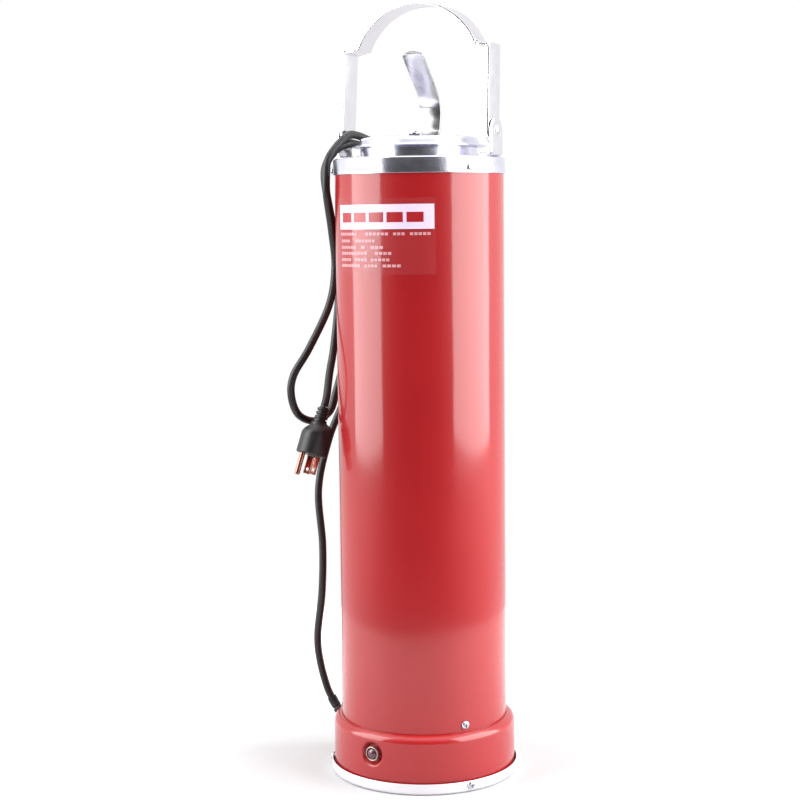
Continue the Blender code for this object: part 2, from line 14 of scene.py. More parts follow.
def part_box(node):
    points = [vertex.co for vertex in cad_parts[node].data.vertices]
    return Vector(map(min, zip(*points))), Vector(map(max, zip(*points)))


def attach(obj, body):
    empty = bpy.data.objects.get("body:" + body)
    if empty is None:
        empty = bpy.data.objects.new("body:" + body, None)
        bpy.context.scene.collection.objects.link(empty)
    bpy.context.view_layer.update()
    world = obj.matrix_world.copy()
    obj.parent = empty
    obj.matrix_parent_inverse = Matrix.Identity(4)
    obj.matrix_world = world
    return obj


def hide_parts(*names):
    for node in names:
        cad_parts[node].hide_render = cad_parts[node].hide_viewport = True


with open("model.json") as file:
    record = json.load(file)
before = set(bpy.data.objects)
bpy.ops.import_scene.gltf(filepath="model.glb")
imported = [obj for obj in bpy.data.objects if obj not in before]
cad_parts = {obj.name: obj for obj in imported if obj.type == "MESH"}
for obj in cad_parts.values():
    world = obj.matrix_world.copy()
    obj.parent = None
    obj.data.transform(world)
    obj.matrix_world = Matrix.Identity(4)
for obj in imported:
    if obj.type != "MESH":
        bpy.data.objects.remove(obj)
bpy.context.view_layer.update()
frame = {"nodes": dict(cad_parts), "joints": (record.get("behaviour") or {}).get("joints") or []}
SCENE = bpy.context.scene


# ---------------------------------------------------------------- sizes, from the frame

def radius_of(node):
    low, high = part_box(node)
    return (high.x - low.x) / 2.0


CASING_R = radius_of("casing")
COVER_R = radius_of("base_cover")
PAN_R = radius_of("bottom_pan")
RING_R = radius_of("top_ring")
TUBE_R = radius_of("inner_tube")
LID_R = radius_of("lid_cover")
CASING_Z0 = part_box("casing")[0].z
CASING_Z1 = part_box("casing")[1].z
COVER_Z0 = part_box("base_cover")[0].z
COVER_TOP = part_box("base_cover")[1].z
PAN_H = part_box("bottom_pan")[1].z
RING_Z0, RING_TOP = (corner.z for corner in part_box("top_ring"))
TUBE_Z0, NECK_TOP = (corner.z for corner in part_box("inner_tube"))
BRIM_Z, LID_TOP = (corner.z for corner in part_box("lid_cover"))
CUP_Z0, CUP_Z1 = (corner.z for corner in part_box("lid_cup"))
BAIL_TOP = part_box("bail_handle")[1].z
PIVOT_Z = next(j for j in frame["joints"] if j["name"] == "bail_swing")["pos_m"][2]
LABEL_Z0, LABEL_Z1 = (corner.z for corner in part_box("rating_label"))

SHEET_T = 0.0010
GAP = 0.0003
LEG_X = 0.07055
STRIP_W = 0.0250
STRIP_T = 0.0025
EAR_X = 0.0739
EAR_T = 0.0020
STRAP_T = 0.0020
SCREW_Y = -0.0085
LID_SHEET_T = 0.0011
SECTION_POINTS = 20
ARC_STEP = 14.0
RIM_SCREW_AZ = (59.5, -64.0, 178.0)
BASE_SCREW_AZ = (53.5, -70.0, 168.0)
LAMP_AZ = -9.4
LAMP_Z = 0.0326
SEAT_R = 0.0116
SEAT_SLOPE = 0.0044
SEAT_DEPTH = 0.0046
GLAND_AZ = -104.0
GLAND_Z = 0.0260
CORD_D = 0.0070
LABEL_AZ = (-42.0, 35.6)

# ---------------------------------------------------------------- camera

CAMERA_AT = (0.6291, -1.3491, 0.4976)
CAMERA_AZ = 25.0
CAMERA_TURN = -0.738
CAMERA_DOWN = 6.112
CAMERA_ROLL = -0.632
LENS = 74.82

# ---------------------------------------------------------------- studio

FLOOR_R = 0.65
BACK_LEVEL = 0.95
FRONT_LEVEL = 0.075
OVERHEAD_LEVEL = 1.6
LIGHT_DISTANCE = 1.35
LIGHT_Z = 0.99
LIGHT_TARGET_Z = 0.85


def make_camera():
    turn, down, roll = (math.radians(a) for a in (CAMERA_TURN, CAMERA_DOWN, CAMERA_ROLL))
    side = math.radians(CAMERA_AZ)
    right = Vector((math.cos(side), math.sin(side), 0.0))
    away = Vector((-math.sin(side), math.cos(side), 0.0))
    look = (right * math.sin(turn) + away * math.cos(turn)) * math.cos(down)
    look -= Vector((0.0, 0.0, math.sin(down)))
    flat = right * math.cos(turn) - away * math.sin(turn)
    up = flat.cross(look)
    x_axis = flat * math.cos(roll) + up * math.sin(roll)
    y_axis = up * math.cos(roll) - flat * math.sin(roll)
    data = bpy.data.cameras.new("camera")
    data.lens = LENS
    data.clip_start = 0.01
    camera = bpy.data.objects.new("camera", data)
    SCENE.collection.objects.link(camera)
    camera.matrix_world = Matrix.Translation(CAMERA_AT) @ Matrix(
        (x_axis, y_axis, -look)).transposed().to_4x4()
    SCENE.camera = camera


# ---------------------------------------------------------------- node helpers

class Look:
    """One procedural material: a Principled shader and short calls that feed it."""

    def __init__(self, name, **sockets):
        self.mat = bpy.data.materials.new(name)
        self.mat.use_nodes = True
        self.tree = self.mat.node_tree
        self.shader = self.tree.nodes["Principled BSDF"]
        self.place = self.node("ShaderNodeTexCoord").outputs["Object"]
        self.normal = None
        for socket, value in sockets.items():
            self.set(socket.replace("_", " "), value)

    def node(self, kind, **fields):
        made = self.tree.nodes.new(kind)
        for field, value in fields.items():
            setattr(made, field, value)
        return made

    def link(self, out, into):
        self.tree.links.new(out, into)

    def set(self, socket, value):
        target = self.shader.inputs[socket]
        if isinstance(value, bpy.types.NodeSocket):
            self.link(value, target)
        elif isinstance(value, tuple) and len(value) == 3:
            target.default_value = (*value, 1.0)
        else:
            target.default_value = value

    def maths(self, kind, *values):
        made = self.node("ShaderNodeMath", operation=kind)
        self.feed(made, values)
        return made.outputs[0]

    def vector(self, kind, *values):
        made = self.node("ShaderNodeVectorMath", operation=kind)
        self.feed(made, values)
        return made.outputs["Value" if kind in ("LENGTH", "DOT_PRODUCT") else "Vector"]

    def feed(self, made, values):
        for socket, value in zip(made.inputs, values):
            if isinstance(value, bpy.types.NodeSocket):
                self.link(value, socket)
            else:
                socket.default_value = value

    def noise(self, scale, detail=2.0, rough=0.5, at=None, stretch=None):
        made = self.node("ShaderNodeTexNoise")
        made.inputs["Scale"].default_value = scale
        made.inputs["Detail"].default_value = detail
        made.inputs["Roughness"].default_value = rough
        at = at or self.place
        if stretch:
            at = self.vector("MULTIPLY", at, stretch)
        self.link(at, made.inputs["Vector"])
        return made.outputs[0]

    def spread(self, value, low, high, to_low=0.0, to_high=1.0):
        made = self.node("ShaderNodeMapRange")
        self.link(value, made.inputs[0])
        for socket, number in zip(made.inputs[1:5], (low, high, to_low, to_high)):
            socket.default_value = number
        return made.outputs[0]

    def mix(self, factor, first, second):
        made = self.node("ShaderNodeMix", data_type="RGBA")
        for socket, value in zip((made.inputs[0], made.inputs[6], made.inputs[7]),
                                 (factor, first, second)):
            if isinstance(value, bpy.types.NodeSocket):
                self.link(value, socket)
            else:
                socket.default_value = (*value, 1.0) if isinstance(value, tuple) else value
        return made.outputs[2]

    def bump(self, height, distance, strength=1.0):
        made = self.node("ShaderNodeBump")
        made.inputs["Distance"].default_value = distance
        made.inputs["Strength"].default_value = strength
        self.link(height, made.inputs["Height"])
        if self.normal:
            self.link(self.normal, made.inputs["Normal"])
        self.normal = made.outputs[0]
        self.link(self.normal, self.shader.inputs["Normal"])
        if self.shader.inputs["Coat Weight"].default_value > 0.0:
            self.link(self.normal, self.shader.inputs["Coat Normal"])

    def split(self):
        made = self.node("ShaderNodeSeparateXYZ")
        self.link(self.place, made.inputs[0])
        return made.outputs

    def around(self, lines):
        """A place that runs slowly round the Z axis and quickly across the spun lines."""
        x, y, z = self.split()
        flat = self.node("ShaderNodeCombineXYZ")
        self.feed(flat, (x, y, 0.0))
        out = self.vector("NORMALIZE", flat.outputs[0])
        across = self.maths("ADD", self.vector("LENGTH", flat.outputs[0]), z)
        column = self.node("ShaderNodeCombineXYZ")
        self.feed(column, (0.0, 0.0, self.maths("MULTIPLY", across, lines)))
        return self.vector("ADD", out, column.outputs[0])


# ---------------------------------------------------------------- materials

def red_paint():
    look = Look("red_paint", IOR=1.5, Specular_IOR_Level=0.25, Coat_Weight=0.85,
                Coat_Roughness=0.10, Coat_IOR=1.5)
    tone = look.noise(9.0, 3.0)
    fine = look.noise(420.0, 2.0)
    colour = look.mix(look.spread(tone, 0.3, 0.7), (0.300, 0.0058, 0.0082),
                      (0.342, 0.0080, 0.0105))
    chips = look.spread(look.noise(240.0, 4.0, 0.62), 0.745, 0.76)
    z = look.split()[2]
    low_edge = look.spread(z, COVER_Z0 + 0.0006, COVER_Z0 + 0.0030, 1.0, 0.0)
    worn = look.maths("MULTIPLY", chips, low_edge)
    look.set("Base Color", look.mix(worn, colour, (0.62, 0.50, 0.48)))
    look.set("Roughness", look.spread(fine, 0.3, 0.7, 0.36, 0.46))
    look.bump(look.noise(16.0, 1.0), 0.00034, 1.0)
    look.bump(look.noise(620.0, 2.0, 0.45), 0.000012, 1.0)
    look.bump(chips, 0.00003, 0.15)
    return look.mat


def spun_aluminium():
    look = Look("spun_aluminium", Metallic=1.0, Anisotropic=0.45)
    tangent = look.node("ShaderNodeTangent", direction_type="RADIAL", axis="Z")
    look.link(tangent.outputs[0], look.shader.inputs["Tangent"])
    lines = look.noise(1.0, 3.0, 0.7, at=look.around(2600.0))
    cloud = look.noise(48.0, 4.0, 0.6)
    look.set("Base Color", look.mix(cloud, (0.70, 0.70, 0.83), (0.84, 0.84, 0.95)))
    rough = look.maths("ADD", look.spread(lines, 0.3, 0.7, 0.13, 0.22),
                       look.spread(cloud, 0.35, 0.7, 0.0, 0.09))
    look.set("Roughness", rough)
    look.bump(look.noise(34.0, 2.0), 0.00016, 1.0)
    look.bump(lines, 0.000010, 1.0)
    return look.mat


def strip_aluminium(name, stretch, dark, light):
    """Rolled strip: fine lines along its length, so `stretch` is large across them."""
    look = Look(name, Metallic=1.0, Anisotropic=0.25)
    lines = look.noise(1.0, 3.0, 0.7, stretch=stretch)
    cloud = look.noise(70.0, 4.0, 0.6)
    marks = look.spread(look.noise(1.0, 2.0, 0.5, stretch=tuple(s * 0.35 + 60 for s in stretch)),
                        0.66, 0.72)
    look.set("Base Color", look.mix(cloud, dark, light))
    rough = look.maths("ADD", look.spread(lines, 0.3, 0.7, 0.11, 0.19),
                       look.spread(cloud, 0.3, 0.7, 0.0, 0.08))
    look.set("Roughness", rough)
    look.bump(look.noise(55.0, 2.0), 0.00012, 1.0)
    look.bump(lines, 0.000010, 1.0)
    look.bump(marks, 0.000010, 0.5)
    return look.mat


def pan_aluminium():
    look = Look("pan_aluminium", Metallic=0.75)
    lines = look.noise(1.0, 3.0, 0.7, at=look.around(1800.0))
    cloud = look.noise(60.0, 5.0, 0.6)
    look.set("Base Color", look.mix(cloud, (0.74, 0.715, 0.75), (0.86, 0.84, 0.875)))
    look.set("Roughness", look.spread(cloud, 0.3, 0.7, 0.42, 0.56))
    look.bump(lines, 0.000012, 1.0)
    look.bump(look.noise(900.0, 2.0), 0.000008, 1.0)
    return look.mat


def inner_steel():
    look = Look("inner_steel", Metallic=1.0)
    cloud = look.noise(40.0, 5.0, 0.6)
    look.set("Base Color", look.mix(cloud, (0.50, 0.495, 0.49), (0.66, 0.655, 0.65)))
    look.set("Roughness", look.spread(cloud, 0.3, 0.7, 0.30, 0.44))
    look.bump(look.noise(1.0, 3.0, 0.7, at=look.around(1500.0)), 0.000010, 1.0)
    return look.mat


def plated(name, dark, light, rough):
    """Bright plating with a faint cloud and a fine satin grain."""
    look = Look(name, Metallic=1.0)
    cloud = look.noise(420.0, 4.0, 0.6)
    look.set("Base Color", look.mix(cloud, dark, light))
    look.set("Roughness", look.spread(cloud, 0.3, 0.7, rough - 0.04, rough + 0.08))
    look.bump(look.noise(3200.0, 2.0), 0.000005, 1.0)
    return look.mat


def moulded(name, dark, light, rough, grain, depth, coat=0.0):
    """Moulded rubber, plastic or glaze: a soft tone change and a fine skin."""
    look = Look(name, IOR=1.5, Coat_Weight=coat, Coat_Roughness=0.12)
    cloud = look.noise(90.0, 3.0)
    look.set("Base Color", look.mix(cloud, dark, light))
    look.set("Roughness", look.spread(look.noise(380.0, 3.0), 0.3, 0.7, rough - 0.05, rough + 0.07))
    look.bump(look.noise(grain, 3.0, 0.6), depth, 1.0)
    return look.mat


def lamp_lens():
    look = Look("lamp_lens", IOR=1.49, Roughness=0.16, Coat_Weight=1.0, Coat_Roughness=0.05)
    cloud = look.noise(300.0, 2.0)
    look.set("Base Color", look.mix(cloud, (0.050, 0.010, 0.022), (0.100, 0.022, 0.040)))
    look.bump(look.noise(520.0, 2.0), 0.00002, 1.0)
    return look.mat


def mineral_wool():
    look = Look("mineral_wool", Roughness=0.95, Sheen_Weight=0.3)
    fibre = look.noise(1.0, 5.0, 0.7, stretch=(700.0, 700.0, 160.0))
    look.set("Base Color", look.mix(fibre, (0.60, 0.56, 0.46), (0.84, 0.81, 0.72)))
    look.bump(fibre, 0.0006, 1.0)
    return look.mat


def wire_sleeve():
    look = Look("wire_sleeve", Roughness=0.8)
    braid = look.node("ShaderNodeTexWave", wave_type="BANDS", bands_direction="DIAGONAL")
    braid.inputs["Scale"].default_value = 260.0
    look.link(look.place, braid.inputs["Vector"])
    look.set("Base Color", look.mix(braid.outputs[0], (0.60, 0.57, 0.50), (0.80, 0.78, 0.72)))
    look.bump(braid.outputs[0], 0.0001, 1.0)
    return look.mat


def label_print(name, dark, light):
    look = Look(name, IOR=1.46, Coat_Weight=0.3, Coat_Roughness=0.12)
    cloud = look.noise(160.0, 3.0)
    look.set("Base Color", look.mix(cloud, dark, light))
    look.set("Roughness", look.spread(cloud, 0.3, 0.7, 0.30, 0.38))
    look.bump(look.noise(1500.0, 2.0), 0.000004, 1.0)
    return look.mat


def label_film():
    look = Look("label_film", IOR=1.46, Alpha=0.008)
    cloud = look.noise(120.0, 3.0)
    look.set("Base Color", look.mix(cloud, (0.92, 0.80, 0.86), (0.96, 0.86, 0.92)))
    look.set("Roughness", look.spread(cloud, 0.3, 0.7, 0.10, 0.20))
    look.bump(look.noise(420.0, 2.0), 0.00001, 1.0)
    return look.mat


RED = red_paint()
SPUN = spun_aluminium()
BAIL_STRIP = strip_aluminium("strip_aluminium", (30.0, 2600.0, 30.0),
                             (0.76, 0.74, 0.79), (0.86, 0.84, 0.89))
STRAP_STRIP = strip_aluminium("strap_aluminium", (2600.0, 40.0, 40.0),
                              (0.40, 0.40, 0.405), (0.50, 0.50, 0.505))
PAN = pan_aluminium()
STEEL = inner_steel()
ZINC = plated("zinc_fastener", (0.60, 0.63, 0.68), (0.76, 0.78, 0.82), 0.24)
NICKEL = plated("nickel_bezel", (0.34, 0.27, 0.25), (0.46, 0.38, 0.35), 0.30)
BRASS = plated("brass_pin", (0.30, 0.135, 0.105), (0.42, 0.21, 0.165), 0.26)
JACKET = moulded("cord_jacket", (0.0085, 0.0080, 0.0090), (0.0140, 0.0130, 0.0145),
                 0.42, 1400.0, 0.00001)
PLUG = moulded("plug_moulding", (0.0085, 0.0075, 0.0085), (0.0125, 0.0110, 0.0125),
               0.44, 2200.0, 0.00001)
RUBBER = moulded("gland_rubber", (0.0085, 0.0085, 0.0090), (0.0130, 0.0130, 0.0140),
                 0.56, 1700.0, 0.000012)
BAKELITE = moulded("bakelite", (0.030, 0.020, 0.016), (0.050, 0.034, 0.026), 0.30, 900.0, 0.00001)
PORCELAIN = moulded("porcelain", (0.80, 0.78, 0.73), (0.88, 0.87, 0.83), 0.24, 500.0, 0.00001, 0.6)
MICA = moulded("mica_band", (0.34, 0.29, 0.22), (0.52, 0.46, 0.37), 0.50, 260.0, 0.00005)
LENS_RED = lamp_lens()
WOOL = mineral_wool()
SLEEVE = wire_sleeve()
PRINT = label_print("label_print", (0.68, 0.58, 0.76), (0.76, 0.66, 0.83))
PRINT_ROWS = label_print("label_rows", (0.60, 0.27, 0.30), (0.68, 0.33, 0.36))
PRINT_RED = label_print("label_red", (0.33, 0.010, 0.014), (0.38, 0.014, 0.018))
FILM = label_film()


# ---------------------------------------------------------------- mesh helpers

def radial(azimuth):
    a = math.radians(azimuth)
    return Vector((math.sin(a), -math.cos(a), 0.0))


def finish_piece(obj, mat, slot, body, *nodes):
    """Gives a finished piece its look and the body it rides on, and hides the nodes it stands for.
    """
    obj.data.materials.clear()
    obj.data.materials.append(mat)
    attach(obj, body)
    if nodes:
        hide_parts(*nodes)
    return obj


def mesh_object(name, verts, faces, sharp=32.0):
    mesh = bpy.data.meshes.new(name)
    mesh.from_pydata(verts, [], faces)
    bm = bmesh.new()
    bm.from_mesh(mesh)
    bmesh.ops.remove_doubles(bm, verts=bm.verts, dist=0.0000005)
    bmesh.ops.recalc_face_normals(bm, faces=bm.faces)
    bm.to_mesh(mesh)
    bm.free()
    mesh.shade_smooth()
    mesh.set_sharp_from_angle(angle=math.radians(sharp))
    obj = bpy.data.objects.new(name, mesh)
    SCENE.collection.objects.link(obj)
    return obj


def skin_faces(rings, sides):
    """Faces of a tube made of `rings` rings of `sides` points, with both ends capped."""
    faces = [[i * sides + k, i * sides + (k + 1) % sides, (i + 1) * sides + (k + 1) % sides,
              (i + 1) * sides + k] for i in range(rings - 1) for k in range(sides)]
    return faces + [list(range(sides)), list(range((rings - 1) * sides, rings * sides))]


def rounded(points, closed):
    """A line of (r, z, radius) corners as points, each corner rounded to its radius."""
    out = []
    count = len(points)
    for i, (r, z, rad) in enumerate(points):
        here = Vector((r, z))
        ends = not closed and i in (0, count - 1)
        if rad <= 0.0 or ends:
            out.append(here)
            continue
        before = Vector(points[i - 1][:2]) - here
        after = Vector(points[(i + 1) % count][:2]) - here
        turn = before.angle(after)
        reach = min(rad / math.tan(turn / 2.0), before.length * 0.49, after.length * 0.49)
        rad = reach * math.tan(turn / 2.0)
        centre = here + (before.normalized() + after.normalized()).normalized() * (
            rad / math.sin(turn / 2.0))
        start = here + before.normalized() * reach - centre
        sweep = math.pi - turn
        side = 1.0 if before.x * after.y - before.y * after.x < 0.0 else -1.0
        parts = max(2, math.ceil(math.degrees(sweep) / ARC_STEP))
        for k in range(parts + 1):
            out.append(centre + Matrix.Rotation(side * sweep * k / parts, 2) @ start)
    return out


def lathe(name, corners, steps=192, closed=True):
    """A solid turned about Z from (r, z, corner radius) points; open lines end on the axis."""
    line = rounded(corners, closed)
    verts = []
    for i in range(steps):
        a = 2.0 * math.pi * i / steps
        verts += [(p.x * math.cos(a), p.x * math.sin(a), p.y) for p in line]
    count = len(line)
    faces = []
    for i in range(steps):
        j = (i + 1) % steps
        for k in range(count if closed else count - 1):
            m = (k + 1) % count
            quad = [i * count + k, i * count + m, j * count + m, j * count + k]
            if line[k].x < 1e-9:
                quad = quad[:3]
            elif line[m].x < 1e-9:
                quad = [quad[0], quad[1], quad[3]]
            faces.append(quad)
    return mesh_object(name, verts, faces)


def aim(obj, location, direction):
    obj.matrix_world = Matrix.Translation(location) @ Vector(direction).to_track_quat(
        "Z", "Y").to_matrix().to_4x4()
    return obj


def evaluated(obj):
    """Applies an object's modifiers to its mesh."""
    bpy.context.view_layer.update()
    graph = bpy.context.evaluated_depsgraph_get()
    mesh = bpy.data.meshes.new_from_object(obj.evaluated_get(graph))
    obj.modifiers.clear()
    obj.data = mesh
    return obj


def smooth_path(points, step):
    """Points every `step` along a Catmull-Rom line through `points`."""
    pts = [Vector(p) for p in points]
    pts = [2 * pts[0] - pts[1]] + pts + [2 * pts[-1] - pts[-2]]
    out = [pts[1].copy()]
    for a, b, c, d in zip(pts, pts[1:], pts[2:], pts[3:]):
        parts = max(1, round((c - b).length / step))
        for i in range(1, parts + 1):
            t = i / parts
            even = 2 * b + (c - a) * t + (2 * a - 5 * b + 4 * c - d) * t * t
            out.append((even + (3 * b - a - 3 * c + d) * t * t * t) / 2)
    return out


def strip_section(half, thick, rad):
    """Points round a flat bar's section: (across, through), corners rounded to `rad`."""
    rad = min(rad, half * 0.9, thick * 0.49)
    out = []
    for sx, sy, start in ((1, 1, 0), (-1, 1, 90), (-1, -1, 180), (1, -1, 270)):
        for k in range(5):
            a = math.radians(start + 90.0 * k / 4)
            out.append((sx * (half - rad) + rad * math.cos(a),
                        sy * (thick / 2.0 - rad) + rad * math.sin(a)))
    return out


def strip(name, line, across, width, thick, round_start=0.0, round_end=0.0, edge=0.00045):
    """A flat bar along `line`; an end may be round, `round_...` long from its tip."""
    line = [Vector(p) for p in line]
    reach = [0.0]
    for a, b in zip(line, line[1:]):
        reach.append(reach[-1] + (b - a).length)
    total = reach[-1]
    marks = set(reach)
    for size, flip in ((round_start, False), (round_end, True)):
        for k in range(15):
            mark = size * (1.0 - math.sin(math.radians(90.0 * k / 14)))
            if size:
                marks.add(total - mark if flip else mark)
    across = Vector(across)
    verts = []
    rows = sorted(m for m in marks if 0.0 <= m <= total)
    rows = [m for i, m in enumerate(rows) if i == 0 or m - rows[i - 1] > 0.00002]
    for mark in rows:
        k = max(i for i in range(len(reach) - 1) if reach[i] <= mark + 1e-9)
        a, b = line[k], line[k + 1]
        share = (mark - reach[k]) / (b - a).length
        here = a.lerp(b, share)
        ways = [(line[min(i + 1, len(line) - 1)] - line[max(i - 1, 0)]).normalized()
                for i in (k, k + 1)]
        way = ways[0].lerp(ways[1], share).normalized()
        out = across.cross(way)
        half = width / 2.0
        for size, left in ((round_start, mark), (round_end, total - mark)):
            if size and left < size:
                half = width / 2.0 * math.sqrt(max(0.0, 1.0 - ((size - left) / size) ** 2))
        half = max(half, edge * 1.2)
        verts += [here + across * v + out * w for v, w in strip_section(half, thick, edge)]
    return mesh_object(name, verts, skin_faces(len(rows), SECTION_POINTS), 40.0)


def tube_along(name, path, radii, sides=28):
    """A closed tube with its own radius at each point of `path`."""
    verts = []
    way = (path[1] - path[0]).normalized()
    side = way.orthogonal().normalized()
    for i, here in enumerate(path):
        ahead = path[min(i + 1, len(path) - 1)] - path[max(i - 1, 0)]
        new = ahead.normalized()
        side = way.rotation_difference(new) @ side
        way = new
        other = way.cross(side)
        for k in range(sides):
            a = 2.0 * math.pi * k / sides
            verts.append(here + (side * math.cos(a) + other * math.sin(a)) * radii[i])
    return mesh_object(name, verts, skin_faces(len(path), sides), 50.0)


# ---------------------------------------------------------------- mains lead

# From the gland, up the back, through the bail, down as a loop, up again,
# through the bail and down to the plug.
ROUTE = (
    (-0.0737, 0.0184, 0.026), (-0.0815, 0.0203, 0.026), (-0.0876, 0.0219, 0.0266),
    (-0.0956, 0.0239, 0.0292), (-0.1028, 0.0251, 0.0348), (-0.1082, 0.0247, 0.0428),
    (-0.1124, 0.0208, 0.056), (-0.1134, 0.0098, 0.084), (-0.1096, -0.001, 0.112),
    (-0.1008, -0.0073, 0.155), (-0.0996, -0.0068, 0.2), (-0.1039, -0.005, 0.252),
    (-0.097, 0.005, 0.299), (-0.0872, 0.02, 0.338), (-0.0794, 0.0358, 0.397),
    (-0.0674, 0.05, 0.472), (-0.054, 0.0632, 0.526), (-0.0507, 0.0653, 0.541),
    (-0.0512, 0.0605, 0.5545), (-0.054, 0.0446, 0.5645), (-0.0594, 0.025, 0.571),
    (-0.0635, 0.004, 0.5758), (-0.0636, -0.015, 0.5746), (-0.0669, -0.0344, 0.5616),
    (-0.0696, -0.0418, 0.5514), (-0.0699, -0.0438, 0.54), (-0.0706, -0.0424, 0.522),
    (-0.0756, -0.0244, 0.49), (-0.0796, -0.0116, 0.458), (-0.0826, -0.018, 0.424),
    (-0.0918, -0.04, 0.386), (-0.1028, -0.05, 0.362), (-0.1062, -0.0494, 0.3435),
    (-0.1032, -0.0424, 0.3254), (-0.0959, -0.0256, 0.318), (-0.0886, -0.0088, 0.3254),
    (-0.0856, -0.0016, 0.3435), (-0.0834, 0.0112, 0.37), (-0.0786, 0.026, 0.408),
    (-0.0718, 0.0402, 0.474), (-0.0624, 0.055, 0.522), (-0.0608, 0.057, 0.541),
    (-0.0614, 0.0502, 0.555), (-0.0629, 0.031, 0.5628), (-0.0642, 0.005, 0.5678),
    (-0.0651, -0.0114, 0.567), (-0.07, -0.0224, 0.5626), (-0.0754, -0.0316, 0.5512),
    (-0.0774, -0.0334, 0.537), (-0.0784, -0.022, 0.508), (-0.08, -0.004, 0.47),
    (-0.0812, -0.0024, 0.43), (-0.082, -0.0114, 0.386), (-0.0804, -0.024, 0.3616),
    (-0.0771, -0.036, 0.3423), (-0.078, -0.0392, 0.3334))
PLUG_DIR = (-0.15, -0.32, -0.935)
PLUG_TURN = 192.0
RELIEF_LENGTH = 0.0146
BODY_LENGTH = 0.0300
BOOT_LENGTH = 0.0300
PLUG_HALF = 0.0132
PLUG_FLAT = 0.0105
PLUG_SIDES = 56


def make_lead():
    data = bpy.data.curves.new("mains_lead", "CURVE")
    data.dimensions = "3D"
    data.bevel_depth = CORD_D / 2.0
    data.bevel_resolution = 5
    data.use_fill_caps = True
    path = [Vector(ROUTE[0]), Vector(ROUTE[1])] + smooth_path(ROUTE[2:], 0.0035)
    line = data.splines.new("POLY")
    line.points.add(len(path) - 1)
    for point, co in zip(line.points, path):
        point.co = (*co, 1.0)
    line.use_smooth = True
    lead = bpy.data.objects.new("mains_lead", data)
    SCENE.collection.objects.link(lead)
    return finish_piece(lead, JACKET, "cord_jacket", "canister", "power_cord"), path


def make_boot(path):
    """Tapered ribbed strain relief that follows the first bend of the lead."""
    wall = radial(GLAND_AZ) * COVER_R + Vector((0, 0, GLAND_Z))
    out = radial(GLAND_AZ)
    line = [wall + out * (-0.0030 + 0.0006 * i) for i in range(9)]
    reach = 0.0
    dense = smooth_path([p for p in path if (p - wall).dot(out) > 0.0030][:16], 0.0006)
    for a, b in zip(dense, dense[1:]):
        reach += (b - a).length
        if reach > BOOT_LENGTH:
            break
        line.append(b)
    radii = []
    travel = 0.0
    for i in range(len(line)):
        travel += (line[i] - line[i - 1]).length if i else 0.0
        share = max(0.0, travel - 0.0030) / BOOT_LENGTH
        base = 0.0076 - 0.0031 * min(1.0, share)
        if travel < 0.0031:
            base = 0.0063
        elif travel < 0.0056:
            base = 0.0084
        elif share > 0.93:
            base = 0.0044
        elif (travel % 0.0042) < 0.0014:
            base -= 0.0011
        radii.append(base)
    boot = tube_along("strain_relief_boot", line, radii)
    return finish_piece(boot, RUBBER, "gland_rubber", "canister", "cord_gland")


def plug_frame():
    down = Vector(PLUG_DIR).normalized()
    start = Vector(ROUTE[-1]) + down * 2 * GAP
    turn = Matrix.Rotation(math.radians(PLUG_TURN), 4, down) @ down.to_track_quat(
        "Z", "Y").to_matrix().to_4x4()
    return Matrix.Translation(start) @ turn


def plug_section(z):
    """A D-shaped ring of the plug at height z: round on the earth side, flat on the other."""
    end = max(0.0, (z - (BODY_LENGTH - 0.0016)) / 0.0016)
    rim = 1.0 - 0.07 * (1.0 - math.sqrt(max(0.0, 1.0 - end * end)))
    out = []
    for k in range(PLUG_SIDES):
        a = 2.0 * math.pi * k / PLUG_SIDES
        c, s = math.cos(a), math.sin(a)
        late = 0.5 - 0.5 * s
        rise = min(1.0, max(0.0, (z - 0.0034 * late) / (0.0034 + 0.0058 * late)))
        swell = rim * (0.56 + 0.44 * math.sin(math.radians(90.0 * rise)))
        power = 2.3 if s < 0.0 else 6.0
        r = (abs(c) ** power + abs(s) ** power) ** (-1.0 / power)
        reach = PLUG_HALF if s < 0.0 else PLUG_FLAT
        out.append((c * r * PLUG_HALF * swell, s * r * reach * swell))
    return out


def make_plug_body(place):
    heights = [0.0, 0.0004, 0.0012] + [0.0020 + 0.0095 * i / 12 for i in range(13)]
    heights += [0.0150, 0.0200, 0.0250, 0.0284] + [0.0284 + 0.0016 * math.sin(
        math.radians(90 * i / 5)) for i in range(1, 6)]
    verts = []
    for z in heights:
        inset = 1.0 - 0.06 * max(0.0, 1.0 - z / 0.0010)
        verts += [(x * inset, y * inset, z) for x, y in plug_section(z)]
    faces = skin_faces(len(heights), PLUG_SIDES)
    body = mesh_object("plug_moulded_body", verts, faces, 42.0)
    body.matrix_world = place @ Matrix.Translation((0, 0, RELIEF_LENGTH + GAP))
    return finish_piece(body, PLUG, "plug_moulding", "canister", "plug_body")


def make_plug_relief(place):
    corners = [(0.0, RELIEF_LENGTH, 0.0)]
    for i in range(4):
        z = RELIEF_LENGTH - i * 0.0036
        rad = 0.0062 - i * 0.00022
        corners += [(rad, z, 0.0004), (rad, z - 0.0021, 0.0004),
                    (rad - 0.0015, z - 0.0023, 0.0002), (rad - 0.0015, z - 0.0034, 0.0002)]
    corners += [(0.0042, 0.0, 0.0004), (0.0, 0.0, 0.0)]
    relief = lathe("plug_strain_relief", corners, 40, closed=False)
    relief.matrix_world = place
    return finish_piece(relief, PLUG, "plug_moulding", "canister", "plug_relief")


